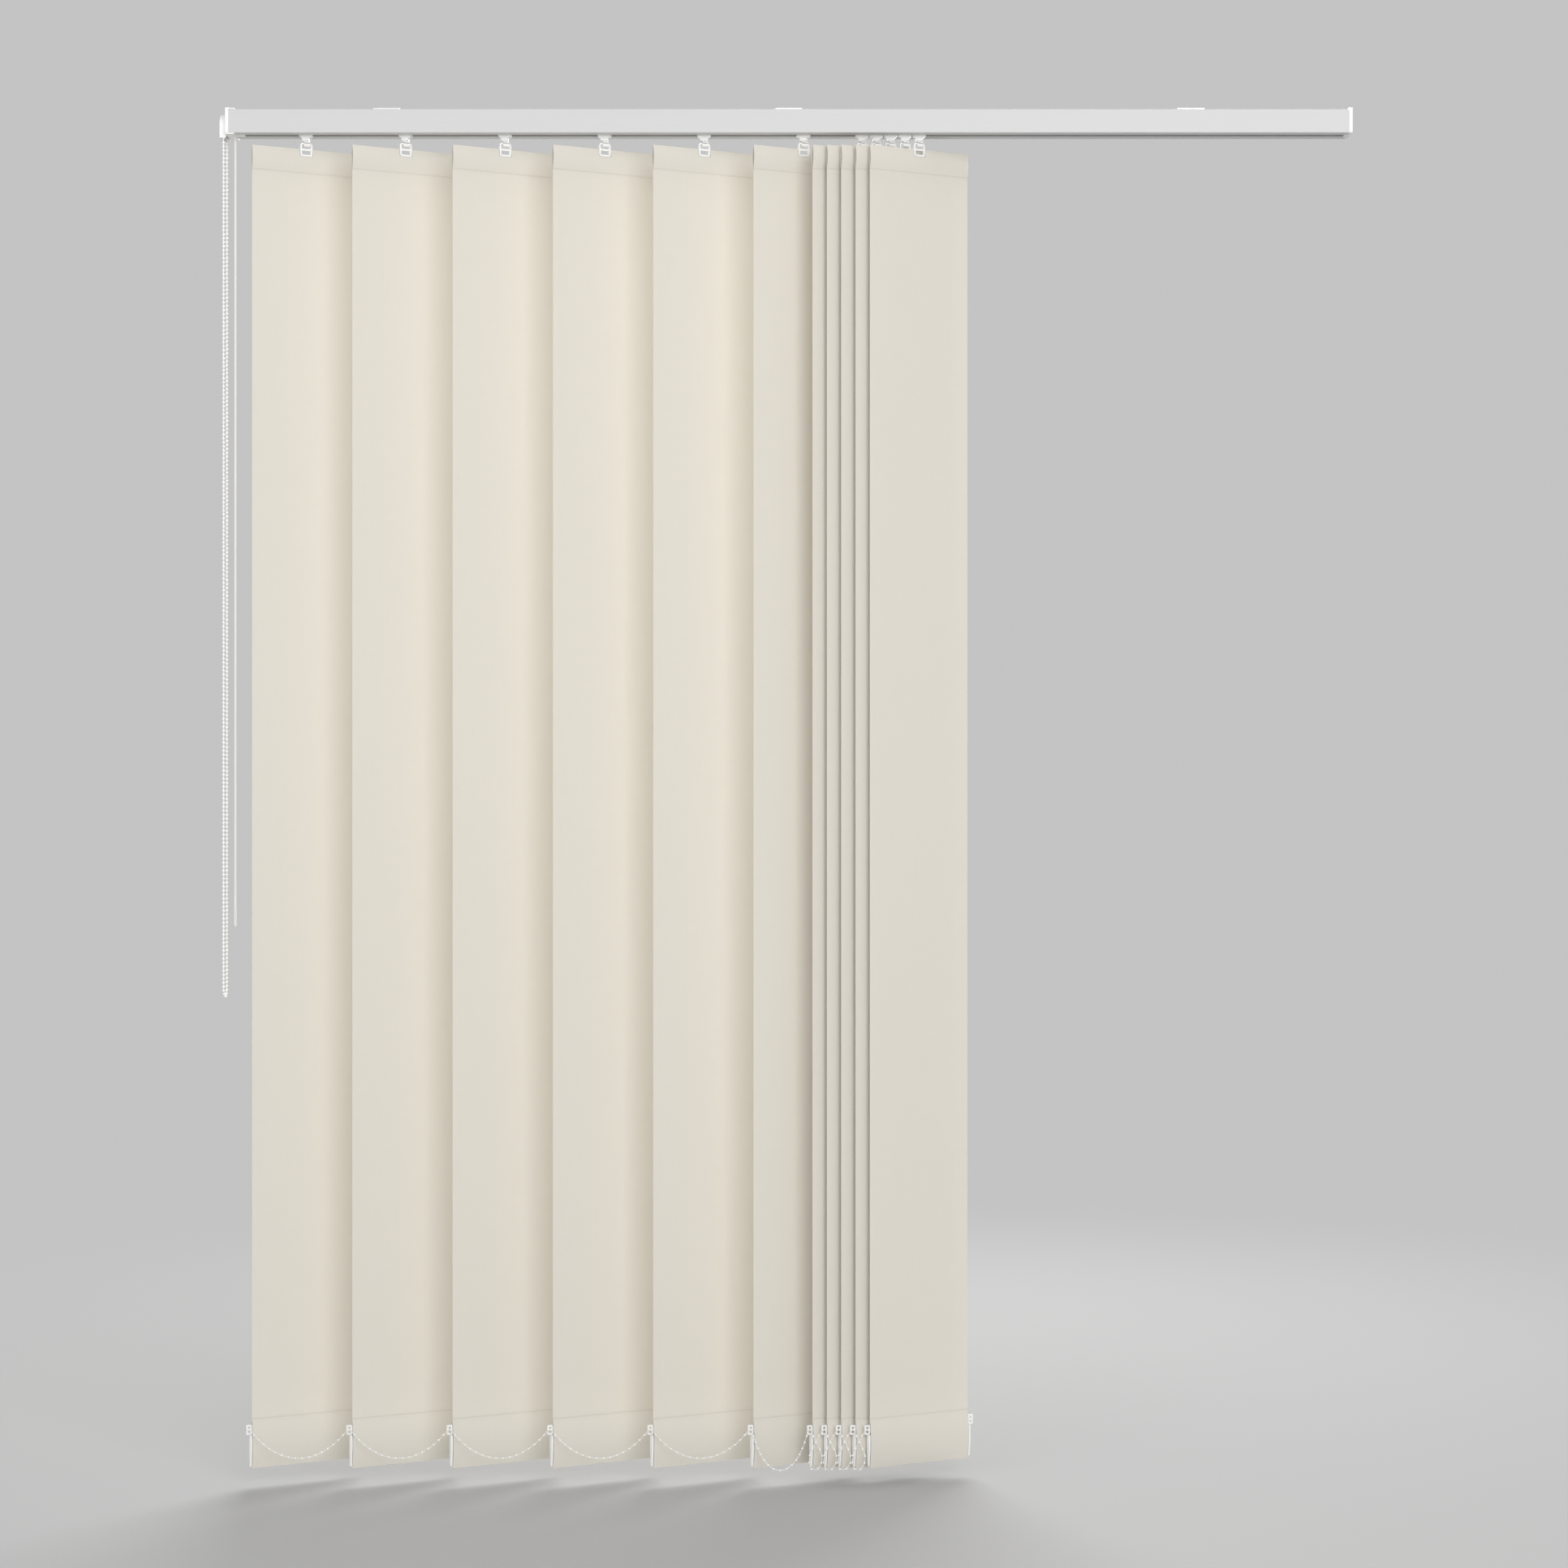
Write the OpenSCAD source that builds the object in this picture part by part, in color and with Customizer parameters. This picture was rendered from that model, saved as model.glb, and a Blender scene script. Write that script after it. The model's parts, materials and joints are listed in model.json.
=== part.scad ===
// Vertical blind: fabric slats hang from carriers that run in an aluminium head rail.
// Millimetres. X runs along the rail, the room side is -Y and Z points up.
// The origin is on the ceiling plane, over the middle of the rail.

/* [Blind] */
// Length of the head rail over its end pieces
blind_w = 1263; // [1240:1:1400]
// From the left end of the blind to the first carrier
first_inset = 88; // [80:1:110]
// Carrier spacing where the slats stand apart
open_pitch = 112; // [90:1:114]
// Carrier spacing of the one gap that is partly drawn
half_pitch = 66; // [40:1:90]
// Carrier spacing where the slats are drawn together
stacked_pitch = 16; // [16:0.5:18]
// Angle between the slats and the rail
slat_tilt = 28; // [26:1:150]

/* [Slats] */
// Width of a slat
slat_w = 127; // [89:1:140]
// Height of a slat
slat_h = 1478; // [1200:1:2000]
// Thickness of the fabric
fabric_t = 0.45; // [0.3:0.05:0.6]
// From the rail's underside to the top of a slat
slat_drop = 15.6; // [15:0.1:18]
// Height of the pocket that holds the hanger
top_pocket_h = 26.6; // [24:0.1:34]
// Thickness of the pocket that holds the hanger
top_pocket_t = 4.6; // [2.8:0.1:5]
// Height of the pocket that holds the weight
bottom_pocket_h = 54.7; // [52:0.1:64]
// Thickness of the pocket that holds the weight
bottom_pocket_t = 6; // [5:0.1:6.2]
// Overlap of the plain sheet on the tip of a pocket
weld_lap = 1; // [0.8:0.1:1.6]

/* [Head rail] */
// Width of the rail from front to back
rail_w = 38; // [37.5:0.5:44]
// Height of the rail
rail_h = 26.6; // [26:0.1:30]
// Wall of the rail's sides, top lips and channel
rail_wall = 1.3; // [1:0.1:1.5]
// Thickness of the floor that the rollers run on
rail_floor_t = 1.4; // [1.2:0.1:1.6]
// Radius of the rail's outer edges
rail_edge_r = 1; // [0.5:0.1:1.2]
// Width of the slot under the rail
slot_w = 11; // [10.6:0.1:12]
// Width of the channel in the rail's top
channel_w = 26; // [24:0.5:27]
// Width of the mouth of that channel
channel_mouth_w = 20; // [18:0.5:21]
// Depth of that channel under the rail's top
channel_d = 4.2; // [4:0.1:4.4]

/* [Ceiling brackets] */
// Thickness of a bracket's plate, which sets the rail's distance from the ceiling
bracket_t = 2.4; // [2:0.1:4]
// Length of a bracket along the rail
bracket_l = 30; // [24:1:50]
// Thickness of a bracket's legs and feet
bracket_leg_t = 1.4; // [1:0.1:1.6]
// Distance of the outer brackets from the ends of the blind
bracket_inset = 180; // [100:5:250]
// Diameter of the screw hole in a bracket
bracket_hole_d = 5; // [4:0.1:6]

/* [End pieces] */
// Thickness of the end plates
end_plate_t = 3.5; // [2.5:0.1:5]
// How far the end plates stand proud of the rail's sides and floor
end_proud = 0.2; // [0:0.1:0.5]
// Gap from the end plates to the ceiling
end_ceiling_gap = 0.2; // [0.1:0.1:0.8]
// Length of the plugs inside the rail
plug_l = 16; // [15:0.5:20]
// Gap between the plugs and the rail
plug_gap = 0.1; // [0.05:0.05:0.2]
// Length of the control unit's lips over and under the rail, from the end of the blind
lip_l = 10; // [8:0.5:12]
// Thickness of those lips
lip_t = 1.2; // [0.8:0.1:1.5]

/* [Carriers] */
// Length of a carrier along the rail
carrier_l = 15.4; // [14.8:0.1:15.6]
// Width of a carrier's housing
carrier_w = 19.2; // [18:0.1:20]
// Gap between moving pieces and the rail
run_gap = 0.3; // [0.2:0.05:0.4]
// Width of the neck in the slot, from front to back
neck_w = 9.8; // [9:0.1:10]
// Width of the neck's lower end along the rail
neck_tip_w = 7.6; // [7:0.1:9]
// How far the neck reaches below the rail
neck_drop = 6.4; // [6:0.1:6.6]
// Height of the neck's flare under the rail
neck_flare_h = 3.2; // [2:0.1:4]
// Diameter of a roller
roller_d = 6.4; // [6:0.1:6.8]
// Width of a roller
roller_w = 4; // [3:0.1:4.5]
// Thickness of a spacer strip
strip_t = 0.3; // [0.2:0.05:0.3]
// Width of a spacer strip
strip_w = 8; // [6:0.5:8.4]

/* [Tilt drive] */
// Height of the tilt rod above the rail's underside
rod_rise = 9; // [8.8:0.1:9.4]
// Diameter of the tilt rod
rod_d = 6; // [5:0.1:6.2]
// Diameter of the flutes along the rod
flute_d = 1.6; // [1:0.1:2]
// Radial clearance of turning shafts in their bores
shaft_gap = 0.08; // [0.03:0.01:0.1]
// Pitch radius of the chain wheel
wheel_r = 11; // [10.5:0.1:11.5]
// Width of the chain wheel
wheel_w = 5.2; // [4.8:0.1:5.6]
// Depth of the chain wheel's cover outside the end plate
cover_depth = 7; // [6.8:0.1:9]
// Wall of the chain wheel's cover
cover_wall = 1; // [0.8:0.1:1.2]
// How far the cover's middle stands out
cover_bulge = 1; // [0.5:0.1:1.5]
// How far the cover reaches below the rail
cover_drop = 4.6; // [3:0.1:8]

/* [Hangers] */
// Width of the buckle that shows above the slat
buckle_w = 14.2; // [13:0.1:16]
// Height of the buckle
buckle_h = 15; // [14.4:0.1:15.4]
// Thickness of the buckle
buckle_t = 3; // [2.4:0.1:3.2]
// Width of the buckle's bars
buckle_bar = 2; // [1.6:0.1:2.2]
// From the rail's underside to the top of the buckle
buckle_drop = 8.4; // [8.3:0.1:9.4]
// Width of the plate in the top pocket
hanger_plate_w = 118; // [60:1:122]
// Height of that plate
hanger_plate_h = 11; // [9:0.1:11.4]
// Thickness of that plate
hanger_plate_t = 1.2; // [0.8:0.1:1.3]
// Diameter of the stem in the carrier
stem_d = 5; // [4:0.1:5.4]
// Width of the hook
hook_w = 7.2; // [6:0.1:8]
// Thickness of the hook's bow
hook_t = 2.2; // [1.8:0.1:2.3]

/* [Weights] */
// Height of a weight
weight_h = 43; // [38:0.5:44]
// How far a weight lies inside the slat's edges
weight_inset = 2; // [1:0.1:4]
// Gap between a weight and the pocket
weight_gap = 0.15; // [0.1:0.01:0.25]
// Thickness of a weight's end cap, from front to back
cap_t = 5; // [4:0.1:5.2]
// Length of a weight's end cap beyond the slat
cap_l = 2.2; // [1.6:0.1:2.4]
// Length of a chain clip beyond the slat's edge
clip_l = 6.2; // [5.8:0.1:7]
// Height of a chain clip
clip_h = 10.6; // [9:0.1:11]
// Thickness of a chain clip
clip_t = 2.4; // [2:0.1:2.6]
// Thickness of the tongue that carries the clip
tongue_t = 1.2; // [0.8:0.1:1.4]

/* [Slat chains] */
// Diameter of a bead
bead_d = 2.2; // [1.8:0.1:2.4]
// Distance between beads
bead_pitch = 7.5; // [6:0.1:9]
// Diameter of the cord between the beads
link_d = 0.8; // [0.6:0.1:1]
// Length of a chain where the slats stand apart
open_chain_l = 136; // [130:1:150]
// Length of a chain in the partly drawn gap
half_chain_l = 118; // [110:1:130]
// Depth of a chain's loop where the slats are drawn together
loop_depth = 45; // [36:1:50]
// Width of such a loop
loop_w = 14.4; // [12:0.1:15]
// Gap between a chain and the clip that it hangs on
chain_gap = 0.35; // [0.3:0.05:0.5]

/* [Control chain] */
// Diameter of a control bead
control_bead_d = 3.3; // [2.8:0.1:3.4]
// Distance between control beads
control_bead_pitch = 4.5; // [4.2:0.1:6]
// Diameter of the cord between control beads
control_link_d = 1; // [0.8:0.1:1.2]
// From the ceiling to the bottom of the control chain
control_chain_drop = 1000; // [700:5:1400]

/* [Traverse cord] */
// Diameter of the traverse cord
cord_d = 1.4; // [1.2:0.1:1.6]
// Clearance of the cord in its guides
cord_gap = 0.3; // [0.2:0.05:0.4]

/* [Hidden] */
slat_count = 11;
open_gaps = 5;
overrun = 1;
sides = [-1, 1];
$fn = 48;

// Rail
rail_end = blind_w / 2;
rail_half_l = rail_end - end_plate_t;
rail_half_w = rail_w / 2;
rail_top = -bracket_t;
rail_bottom = rail_top - rail_h;
floor_top = rail_bottom + rail_floor_t;
cavity_half_w = rail_half_w - rail_wall;
channel_floor = rail_top - channel_d;
cavity_top = channel_floor - rail_wall;
chamber_top = rail_top - rail_wall;
chamber_inner = channel_w / 2 + rail_wall;
slot_half_w = slot_w / 2;

// Carriers and drive
first_x = -rail_end + first_inset;
rod_z = rail_bottom + rod_rise;
rod_r = rod_d / 2;
carrier_half_l = carrier_l / 2;
carrier_lift = 0.6;
carrier_head_gap = 0.9;
carrier_bottom = floor_top + carrier_lift;
carrier_top = cavity_top - carrier_head_gap;
carrier_edge_r = 1.5;
neck_bottom = rail_bottom - neck_drop;
neck_shoulder = rail_bottom - run_gap;
neck_waist = neck_shoulder - neck_flare_h;
stem_r = stem_d / 2;
stem_wall = 1.5;
stem_top = rod_z - rod_r - stem_wall;
roller_r = roller_d / 2;
roller_z = floor_top + run_gap + roller_r;
roller_x = carrier_half_l - roller_r - run_gap;
roller_axle_r_share = 0.4;
roller_y = carrier_w / 2 + run_gap;
strip_layers = 8;
strip_fit = 0.05;
strip_step = strip_t + 2 * strip_fit;
strip_low = carrier_top - strip_layers * strip_step - run_gap;
strip_past = 0.9;
strip_l = open_pitch + carrier_half_l + strip_past;
strip_tab_l = carrier_l / 3;
strip_tab_bite = 1.2;
notch_half_w = strip_w / 2 + run_gap;
strip_tab_half_w = notch_half_w + strip_tab_bite;

// End pieces
plate_top = -end_ceiling_gap;
plate_bottom = rail_bottom - end_proud;
plate_half_w = rail_half_w + end_proud;
plate_edge_r = 2;
plug_half_w = cavity_half_w - plug_gap;
plug_top = cavity_top - plug_gap;
plug_bottom = floor_top + plug_gap;
chain_x = -rail_end - (cover_depth - cover_wall) / 2;
control_bead_r = control_bead_d / 2;
cover_r = wheel_r + control_bead_r + run_gap + cover_wall;
cover_bottom = rail_bottom - cover_drop;
cover_bulge_r_shares = [0.5, 0.86];
wheel_groove_r = wheel_r - control_bead_r - run_gap;
wheel_rim_t_share = 0.09;
wheel_hub_wall = 2;
wheel_hub_r = rod_r + wheel_hub_wall;

// Traverse cord in the rail, and its pulley
cord_r = cord_d / 2;
pulley_side_gap = 2.7;
cord_rise = 7;
cord_z = rod_z + cord_rise;
cord_run_y = cavity_half_w - pulley_side_gap;
pulley_inset = 22;
pulley_x = rail_half_l - pulley_inset;
pulley_h = 4.4;
pulley_pin_r = 2;
pulley_rim_h_share = 0.16;
pulley_cord_gap = 0.1;
pulley_groove_r = cord_run_y - cord_r - pulley_cord_gap;
pulley_rim_r = pulley_groove_r + cord_r;
shelf_t = 1.4;
shelf_half_w = 7;
shelf_bottom = cord_z + pulley_h / 2 + run_gap;
lug_half_l = 4;
lug_h = 4;
lug_wall = 0.6;
lug_reach = cord_run_y + cord_r + cord_gap + lug_wall;
cord_drop_inset = 5;
cord_drop_at = [-rail_half_l + cord_drop_inset, 0, rail_bottom];
cord_route = [
    [0, -3, 3.6], [0, -3, -31], [0, -3, -91], [0, -3, -171], [0, -3, -271],
    [0, -3, -371], [0, -3, -471], [0, -3, -571], [0, -3, -671], [0, -3, -771],
    [0, -3, -851], [0, -3, -884], [0, -3, -887.6], [0, -2.6, -889.1], [0, -1.5, -890.2], [0, 0, -890.6],
    [0, 1.5, -890.2], [0, 2.6, -889.1], [0, 3, -887.6], [0, 3, -884], [0, 3, -851], [0, 3, -771],
    [0, 3, -671], [0, 3, -571], [0, 3, -471], [0, 3, -371], [0, 3, -271],
    [0, 3, -171], [0, 3, -91], [0, 3, -31], [0, 3, 3.6]
];
cord_inlet = cord_route[len(cord_route) - 1];
cord_inlet_gap = 0.4;
cord_run_inset = 10;
cord_run_start = -rail_half_l + cord_run_inset;

// Slats, hangers and weights
slat_top = rail_bottom - slat_drop;
slat_bottom = slat_top - slat_h;
top_pocket_z = slat_top - top_pocket_h / 2;
bottom_pocket_z = slat_bottom + bottom_pocket_h / 2;
buckle_top = rail_bottom - buckle_drop;
buckle_z = buckle_top - buckle_h / 2;
buckle_r = 2.6;
notch_gap = 0.4;
hanger_plate_top = buckle_top - buckle_h + buckle_bar / 2;
window_w = buckle_w - 2 * buckle_bar;
window_h = (buckle_h - 3 * buckle_bar) / 2;
hook_gap = 0.3;
hook_top = neck_bottom - run_gap;
hook_bow_top = buckle_top - buckle_bar - hook_gap;
hook_bottom = hook_bow_top - hook_t;
hook_half_t = buckle_t / 2 + hook_gap + hook_t;
hook_tip_share = 0.55;
weight_half_l = slat_w / 2 - weight_inset;
weight_facets = 8;
clip_set = 0.6;
clip_top = bottom_pocket_z + weight_h / 2 - clip_set;
clip_z = clip_top - clip_h / 2;
clip_gap = 0.5;
clip_start = slat_w / 2 + clip_gap;
clip_mid = clip_start + clip_l / 2;
clip_bar = 1.6;
clip_window_h = (clip_h - 3 * clip_bar) / 2;
tongue_h = clip_h - 3 * clip_bar;
cap_gap = 0.4;
cap_top = clip_top - clip_h - cap_gap;
cap_low_share = 0.04;
cap_bottom = slat_bottom + bottom_pocket_h * cap_low_share;
cap_tongue_h_share = 0.4;
cap_tongue_h = weight_h * cap_tongue_h_share;

// Slat chains
bead_r = bead_d / 2;
chain_drop = clip_h / 2 - bead_r;
chain_apart = bead_r + chain_gap / 2;
chain_ahead = (clip_t / 2 + chain_gap + bead_r) / cos(slat_tilt) + chain_apart * tan(slat_tilt);
loop_shift = bead_d + chain_gap;
catenary_shares = [0.05, 20];
catenary_turns = 60;
loop_x_shares = [0, 0.19, 0.38, 0.6, 0.85, 0.82, 0.42, -0.02, -0.18, -0.13, 0.1, 0.32, 0.55, 0.85];
loop_z_shares = [0, 0.15, 0.29, 0.44, 0.61, 0.81, 1, 0.97, 0.8, 0.6, 0.44, 0.29, 0.15, 0];
loop_y_shares = [0, 0, 0, 0, 0, 0, 0.4, 0.8, 1, 1, 1, 1, 0.55, 0];

// Places of the carriers, counted from the control end
function gap_after(k) =
    k <= open_gaps ? open_pitch : k == open_gaps + 1 ? half_pitch : stacked_pitch;
function carrier_x(k) = k == 1 ? first_x : carrier_x(k - 1) + gap_after(k - 1);

// Radius of the two arcs that enclose a lens of a height and a thickness
function lens_r(height, thick) = (height * height + thick * thick) / (4 * thick);

// A hanging chain: its shape constant from its span and length, and its bead places
function sinh(x) = (exp(x) - exp(-x)) / 2;
function asinh(x) = ln(x + sqrt(x * x + 1));
function catenary_a(span, length, low, high, turns) =
    let (mid = (low + high) / 2)
    turns == 0 ? mid
    : 2 * mid * sinh(span / (2 * mid)) > length ? catenary_a(span, length, mid, high, turns - 1)
    : catenary_a(span, length, low, mid, turns - 1);
function drape(span, length) =
    let (
        low = span * catenary_shares[0],
        high = span * catenary_shares[1],
        a = catenary_a(span, length, low, high, catenary_turns),
        count = round(length / bead_pitch),
        deep = sqrt(a * a + length * length / 4)
    )
    [for (i = [0 : count])
        let (s = length * (i / count - 1 / 2))
        [span / 2 + a * asinh(s / a), 0, sqrt(a * a + s * s) - deep]];
function loop_points(span) =
    [for (i = [0 : len(loop_x_shares) - 1])
        let (
            last = len(loop_x_shares) - 1,
            along = i / last
        )
        [
            span * along + loop_w * (loop_x_shares[i] - loop_x_shares[last] * along),
            -loop_shift * loop_y_shares[i],
            -loop_depth * loop_z_shares[i]
        ]];
function chain_points(k) =
    let (span = gap_after(k) - 2 * chain_apart)
    k <= open_gaps ? drape(span, open_chain_l)
    : k == open_gaps + 1 ? drape(span, half_chain_l)
    : loop_points(span);

// Extrudes a (Y, Z) outline along X, or an (X, Z) outline along Y
module along_x(length) {
    rotate([90, 0, 90]) linear_extrude(height = length, center = true) children();
}
module along_y(length) {
    rotate([90, 0, 0]) linear_extrude(height = length, center = true) children();
}

module span_rect(x0, x1, y0, y1) {
    translate([x0, y0]) square([x1 - x0, y1 - y0]);
}
module both_sides() {
    children();
    mirror([1, 0]) children();
}
module both_sides_in_y() {
    children();
    mirror([0, 1]) children();
}
module rounded_rect(w, h, r) {
    square([w - 2 * r, h], center = true);
    square([w, h - 2 * r], center = true);
    for (x = sides, y = sides) {
        translate([x * (w / 2 - r), y * (h / 2 - r)]) circle(r);
    }
}
module rod_along_x(length, r) {
    rotate([0, 90, 0]) cylinder(h = length, r = r, center = true);
}

// Turns what stands on Z to a direction, for a round link and a row of beads joined by such links
module aim(d) {
    rotate([0, acos(d[2] / norm(d)), atan2(d[1], d[0])]) children();
}
module link(p, q, r) {
    translate(p) aim(q - p) cylinder(h = norm(q - p), r = r);
}
module bead_row(points, ball_r, cord_r) {
    last = len(points) - 1;
    for (i = [0 : last]) {
        translate(points[i]) aim(points[min(i + 1, last)] - points[max(i - 1, 0)]) sphere(ball_r);
    }
    for (i = [1 : last]) {
        link(points[i - 1], points[i], cord_r);
    }
}

// A tube of eight sides swept along a route in a plane of constant x, or along a flat bend
module tube(route, r, across) {
    sides_n = 8;
    last = len(route) - 1;
    ways = [for (i = [0 : last]) route[min(i + 1, last)] - route[max(i - 1, 0)]];
    rings = [for (i = [0 : last])
        let (out = cross(across, ways[i] / norm(ways[i])))
        for (j = [0 : sides_n - 1])
            let (turn = 360 * j / sides_n)
            route[i] + r * (cos(turn) * across + sin(turn) * out)];
    walls = [for (i = [0 : last - 1], j = [0 : sides_n - 1])
        let (n = (j + 1) % sides_n, a = i * sides_n, b = a + sides_n)
        [a + j, b + j, b + n, a + n]];
    caps = [
        [for (j = [0 : sides_n - 1]) j],
        [for (j = [sides_n - 1 : -1 : 0]) last * sides_n + j]
    ];
    polyhedron(rings, concat(walls, caps));
}

// Head rail: one extrusion with a roller floor, a slot below and a bracket channel on top
module rail_section() {
    difference() {
        translate([0, (rail_top + rail_bottom) / 2]) rounded_rect(rail_w, rail_h, rail_edge_r);
        span_rect(-cavity_half_w, cavity_half_w, floor_top, cavity_top);
        both_sides() span_rect(chamber_inner, cavity_half_w, cavity_top - overrun, chamber_top);
        span_rect(-channel_w / 2, channel_w / 2, channel_floor, rail_top - rail_wall);
        span_rect(-channel_mouth_w / 2, channel_mouth_w / 2, channel_floor, rail_top + overrun);
        span_rect(-slot_half_w, slot_half_w, rail_bottom - overrun, floor_top + overrun);
    }
}
module headrail() {
    color("whitesmoke") along_x(2 * rail_half_l) rail_section();
}

// Ceiling brackets: plates on the rail's lips, with feet that grip under them
module bracket() {
    leg_out = channel_mouth_w / 2 - run_gap;
    leg_in = leg_out - bracket_leg_t;
    foot_out = channel_w / 2 - run_gap;
    foot_top = rail_top - rail_wall;
    foot_bottom = foot_top - bracket_leg_t;
    difference() {
        along_x(bracket_l) {
            span_rect(-channel_w / 2, channel_w / 2, rail_top, 0);
            both_sides() {
                span_rect(leg_in, leg_out, foot_bottom, rail_top + bracket_t / 2);
                span_rect(leg_in, foot_out, foot_bottom, foot_top);
            }
        }
        translate([0, 0, -bracket_t / 2]) {
            cylinder(h = bracket_t + 2 * overrun, r = bracket_hole_d / 2, center = true);
        }
    }
}
module ceiling_brackets() {
    color("gainsboro") {
        for (x = [-1, 0, 1]) {
            translate([x * (rail_end - bracket_inset), 0, 0]) bracket();
        }
    }
}

// What both ends share: an outer plate and a plug in the rail
module end_plate_section() {
    translate([0, (plate_top + plate_bottom) / 2]) {
        rounded_rect(2 * plate_half_w, plate_top - plate_bottom, plate_edge_r);
    }
}
module plug_section() {
    span_rect(-plug_half_w, plug_half_w, plug_bottom, plug_top);
    span_rect(-slot_half_w + plug_gap, slot_half_w - plug_gap, rail_bottom, plug_bottom + overrun);
}

// Control unit: end plate, plug with cord guides, and the cover of the chain wheel
module cover_outline(grow) {
    translate([0, rod_z]) circle(cover_r + grow);
    span_rect(-cover_r - grow, cover_r + grow, cover_bottom, rod_z);
}
module control_unit() {
    color("whitesmoke") difference() {
        union() {
            translate([-rail_end + end_plate_t / 2, 0, 0]) along_x(end_plate_t) end_plate_section();
            translate([-rail_half_l + plug_l / 2, 0, 0]) along_x(plug_l) plug_section();
            translate([-rail_end + lip_l / 2, 0, 0]) along_x(lip_l) {
                span_rect(-rail_half_w, rail_half_w, rail_top, rail_top + lip_t);
                span_rect(-rail_half_w, rail_half_w, rail_bottom - lip_t, rail_bottom);
            }
            translate([-rail_end - cover_depth / 2, 0, 0]) along_x(cover_depth) cover_outline(0);
            translate([-rail_end - cover_depth - cover_bulge, 0, rod_z]) rotate([0, 90, 0]) {
                cylinder(
                    h = cover_bulge + cover_wall / 2,
                    r1 = cover_r * cover_bulge_r_shares[0], r2 = cover_r * cover_bulge_r_shares[1]
                );
            }
        }
        translate([chain_x, 0, 0]) along_x(cover_depth - cover_wall) {
            cover_outline(-cover_wall);
            span_rect(-cover_r + cover_wall, cover_r - cover_wall, cover_bottom - overrun, rod_z);
        }
        translate([chain_x, 0, rod_z]) rotate([0, 90, 0]) {
            cylinder(h = plug_l - rail_half_l - chain_x + overrun, r = rod_r + shaft_gap);
        }
        for (y = sides) {
            translate(cord_drop_at + [cord_inlet[0], y * cord_inlet[1], -lip_t - overrun]) {
                cylinder(h = cord_inlet[2] + cord_inlet_gap + lip_t + overrun, r = cord_r + cord_gap);
            }
            translate([cord_run_start, y * cord_run_y, cord_z]) {
                rotate([0, 90, 0]) cylinder(h = plug_l, r = cord_r + cord_gap);
            }
        }
    }
}

// Idler end cap: end plate, plug, pulley shelf with its pin, and the pulley
module pulley() {
    rim_h = pulley_h * pulley_rim_h_share;
    translate([pulley_x, 0, cord_z]) rotate_extrude() {
        difference() {
            span_rect(pulley_pin_r + shaft_gap, pulley_rim_r, -pulley_h / 2, pulley_h / 2);
            span_rect(pulley_groove_r, pulley_rim_r + overrun, rim_h - pulley_h / 2, pulley_h / 2 - rim_h);
        }
    }
}
module idler_end_cap() {
    color("whitesmoke") {
        difference() {
            union() {
                translate([rail_end - end_plate_t / 2, 0, 0]) along_x(end_plate_t) end_plate_section();
                translate([rail_half_l - end_plate_t / 2, 0, 0]) along_x(end_plate_t) plug_section();
                translate([0, 0, shelf_bottom]) {
                    linear_extrude(height = shelf_t) {
                        translate([pulley_x, 0]) circle(shelf_half_w);
                        span_rect(pulley_x, rail_half_l, -shelf_half_w, shelf_half_w);
                    }
                }
                translate([pulley_x, 0, cord_z - pulley_h / 2]) {
                    cylinder(h = pulley_h + run_gap + shelf_t, r = pulley_pin_r);
                }
            }
            translate([rail_half_l - end_plate_t, 0, rod_z]) {
                rod_along_x(3 * end_plate_t, rod_r + shaft_gap);
            }
        }
        pulley();
    }
}

// Tilt rod: a fluted rod through all carriers, with the chain wheel on its end
module tilt_rod() {
    rod_left = -rail_end - cover_depth + 2 * cover_wall;
    rod_right = rail_half_l;
    rim_t = wheel_w * wheel_rim_t_share;
    web_z = wheel_w / 2 - rim_t;
    color("silver") {
        translate([(rod_left + rod_right) / 2, 0, 0]) along_x(rod_right - rod_left) {
            translate([0, rod_z]) difference() {
                circle(rod_r);
                for (turn = [90 : 120 : 330]) {
                    rotate(turn) translate([rod_r, 0]) circle(flute_d / 2);
                }
            }
        }
        translate([chain_x, 0, rod_z]) rotate([0, 90, 0]) rotate_extrude() {
            difference() {
                span_rect(rod_r + shaft_gap, wheel_r, -wheel_w / 2, wheel_w / 2);
                span_rect(wheel_groove_r, wheel_r + overrun, -web_z, web_z);
                both_sides_in_y() {
                    span_rect(wheel_hub_r, wheel_groove_r - rim_t, web_z, wheel_w / 2 + overrun);
                }
            }
        }
    }
}

// Control chain: an endless row of beads over the wheel
module control_strand(bottom, top) {
    count = round((top - bottom) / control_bead_pitch);
    pitch = (top - bottom) / count;
    bead_turns = [-72, -36, 0, 36, 72];
    outline = [for (i = [0 : count - 1], turn = bead_turns)
        [control_bead_r * cos(turn), (i + 1 / 2) * pitch + control_bead_r * sin(turn)]];
    cord = control_link_d / 2;
    translate([0, 0, bottom]) rotate_extrude($fn = 24) {
        polygon(concat([[0, 0], [cord, 0]], outline, [[cord, top - bottom], [0, top - bottom]]));
    }
}
module control_turn(end_z, way) {
    count = round(PI * wheel_r / control_bead_pitch);
    lead = control_bead_pitch / 2;
    places = [for (i = [0 : count])
        let (turn = 180 * i / count)
        [chain_x, wheel_r * cos(turn), end_z + way * (lead + wheel_r * sin(turn))]];
    ends = [for (p = [places[0], places[count]]) p - [0, 0, way * lead]];
    union() {
        bead_row(places, control_bead_r, control_link_d / 2);
        link(ends[0], places[0], control_link_d / 2);
        link(ends[1], places[count], control_link_d / 2);
    }
}
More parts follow.
